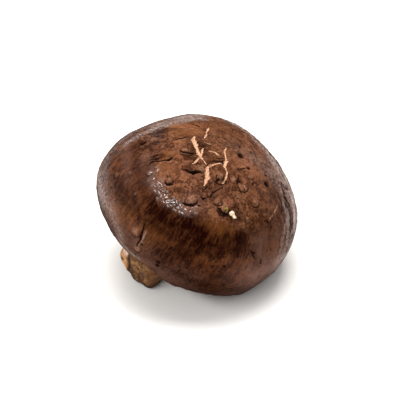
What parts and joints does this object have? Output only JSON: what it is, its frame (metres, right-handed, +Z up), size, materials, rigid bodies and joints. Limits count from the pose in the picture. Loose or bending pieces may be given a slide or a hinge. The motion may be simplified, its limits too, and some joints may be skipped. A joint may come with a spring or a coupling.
{
  "type": "shiitake mushroom",
  "caption": "Fresh shiitake mushroom lying on its side of the cap: domed cracked brown cap, inrolled margin, radial gills and a short bent stem.",
  "frame": {"origin": "middle of the footprint's bounding box, at the height of the table that the mushroom lies on", "axes": "+Z up; +X towards the side that the cap leans to; -Y towards the front, where the stem's end comes out under the margin at -X"},
  "size_m": [0.0568, 0.0584, 0.0448],
  "materials": {
    "cap_skin": "moist satin skin, dark red-brown",
    "gill_flesh": "matt cream flesh",
    "stem_skin": "matt, fibrous, tan brown"
  },
  "bodies": {
    "root": {"cap": "cap_skin", "gills": "gill_flesh", "stem": "stem_skin"}
  },
  "joints": []
}
